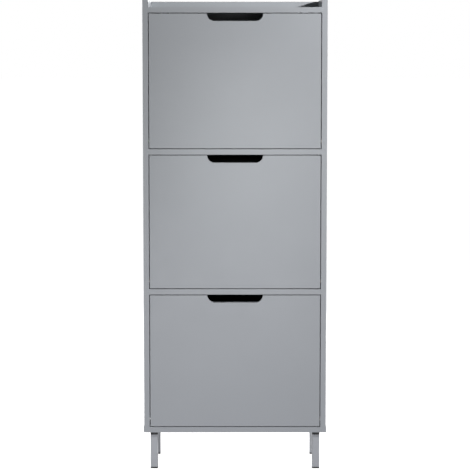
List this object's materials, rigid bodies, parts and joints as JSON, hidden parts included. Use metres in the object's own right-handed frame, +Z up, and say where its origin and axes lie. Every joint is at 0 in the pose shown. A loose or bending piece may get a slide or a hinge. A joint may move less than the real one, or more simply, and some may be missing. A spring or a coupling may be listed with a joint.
{
  "type": "shoe cabinet",
  "caption": "Tall narrow shoe cabinet with stacked tip-out flap doors, routed finger cut-outs, two-row shoe bins, a gallery top and square tube legs.",
  "frame": {"origin": "on the floor, at the centre of the bounding box's bottom face", "axes": "+Z up, -Y towards the doors, +X to the right of a person who faces the doors"},
  "size_m": [0.503, 0.24, 1.29],
  "materials": {
    "painted_board": "satin grey lacquer on fibreboard",
    "painted_steel": "satin grey powder coat",
    "black_plastic": "fine-grained black moulded plastic",
    "bin_board": "matt black melamine-faced board",
    "hardboard": "matt black face inside, raw brown fibre face at the back",
    "steel": "bright zinc plated",
    "zinc": "dull die-cast zinc",
    "beech": "bare fluted beech",
    "nylon": "natural nylon"
  },
  "bodies": {
    "cabinet": {"side_left": "painted_board", "side_right": "painted_board", "top_board": "painted_board", "back_rail": "painted_board", "base_board": "painted_board", "divider_upper": "painted_board", "divider_lower": "painted_board", "back_panel": "hardboard", "leg_front_left": "painted_steel", "leg_front_right": "painted_steel", "leg_rear_left": "painted_steel", "leg_rear_right": "painted_steel", "leg_block_front_left": "black_plastic", "leg_block_front_right": "black_plastic", "leg_block_rear_left": "black_plastic", "leg_block_rear_right": "black_plastic", "foot_front_left": "black_plastic", "foot_front_right": "black_plastic", "foot_rear_left": "black_plastic", "foot_rear_right": "black_plastic", "leg_studs": "steel", "insert_nuts": "zinc", "cam_housings": "zinc", "cam_bolts": "steel", "wood_dowels": "beech", "pivot_bushes_top": "nylon", "pivot_bushes_middle": "nylon", "pivot_bushes_bottom": "nylon", "limit_pegs_top": "black_plastic", "limit_pegs_middle": "black_plastic", "limit_pegs_bottom": "black_plastic", "door_stops_top": "black_plastic", "door_stops_middle": "black_plastic", "door_stops_bottom": "black_plastic"},
    "flap_bottom": {"door_bottom": "painted_board", "cheek_left_bottom": "black_plastic", "cheek_right_bottom": "black_plastic", "bin_floor_bottom": "bin_board", "bin_partition_bottom": "bin_board", "bin_back_bottom": "bin_board", "pivot_pins_bottom": "steel", "cheek_screws_bottom": "steel"},
    "flap_middle": {"door_middle": "painted_board", "cheek_left_middle": "black_plastic", "cheek_right_middle": "black_plastic", "bin_floor_middle": "bin_board", "bin_partition_middle": "bin_board", "bin_back_middle": "bin_board", "pivot_pins_middle": "steel", "cheek_screws_middle": "steel"},
    "flap_top": {"door_top": "painted_board", "cheek_left_top": "black_plastic", "cheek_right_top": "black_plastic", "bin_floor_top": "bin_board", "bin_partition_top": "bin_board", "bin_back_top": "bin_board", "pivot_pins_top": "steel", "cheek_screws_top": "steel"}
  },
  "joints": [
    {"name": "flap_bottom_hinge", "type": "hinge", "parent": "cabinet", "child": "flap_bottom", "pos_m": [0, -0.1125, 0.1422], "axis": [1, 0, 0], "range_deg": [0, 45]},
    {"name": "flap_middle_hinge", "type": "hinge", "parent": "cabinet", "child": "flap_middle", "pos_m": [0, -0.1125, 0.52553], "axis": [1, 0, 0], "range_deg": [0, 45]},
    {"name": "flap_top_hinge", "type": "hinge", "parent": "cabinet", "child": "flap_top", "pos_m": [0, -0.1125, 0.90887], "axis": [1, 0, 0], "range_deg": [0, 45]}
  ]
}
